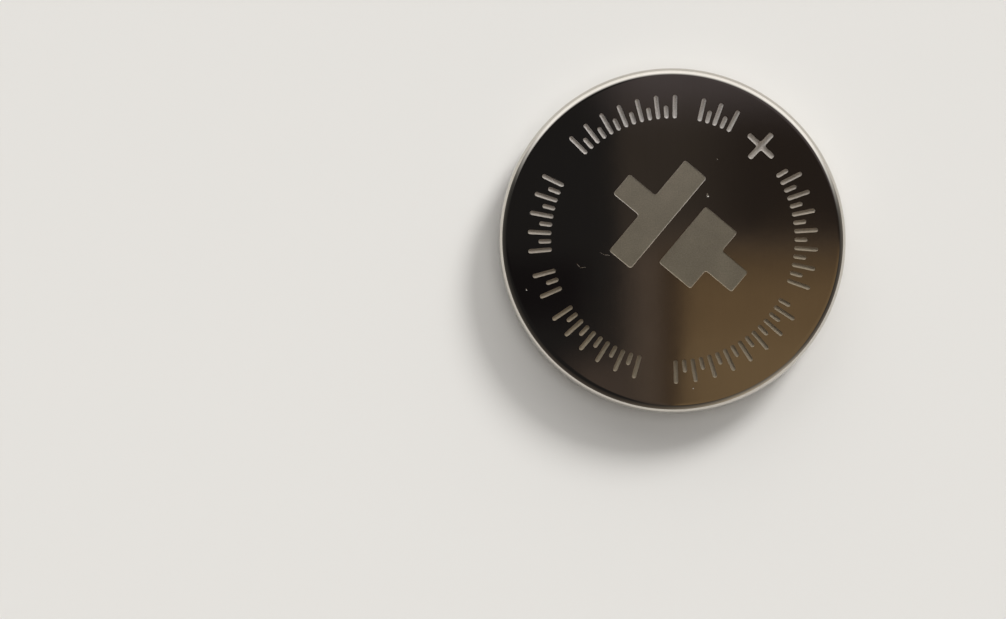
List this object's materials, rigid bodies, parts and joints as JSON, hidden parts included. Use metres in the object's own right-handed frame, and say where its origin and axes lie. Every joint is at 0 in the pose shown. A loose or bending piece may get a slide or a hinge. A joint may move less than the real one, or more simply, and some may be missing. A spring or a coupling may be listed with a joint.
{
  "type": "lithium coin cell",
  "caption": "Flat round sealed battery cell: a polished steel can with a rolled crimp over a gasket and a stepped steel cap, with its layered contents inside.",
  "frame": {"origin": "centre of the flat negative contact, on the surface the cell lies on", "axes": "+Z is the cell's axis and points out of the positive face; +X and +Y lie in the plane of the negative contact"},
  "size_m": [0.016, 0.016, 0.002],
  "materials": {
    "can_steel": "polished, nickel plated",
    "cap_steel": "satin, nickel plated",
    "gasket_polypropylene": "moulded",
    "manganese_dioxide": "pressed powder",
    "collector_steel": "expanded sheet",
    "separator_felt": "unwoven felt",
    "lithium_metal": "rolled, dull"
  },
  "bodies": {
    "root": {"positive_can": "can_steel", "negative_cap": "cap_steel", "gasket": "gasket_polypropylene", "cathode_pellet": "manganese_dioxide", "collector_mesh": "collector_steel", "separator": "separator_felt", "lithium_disc": "lithium_metal"}
  },
  "joints": []
}
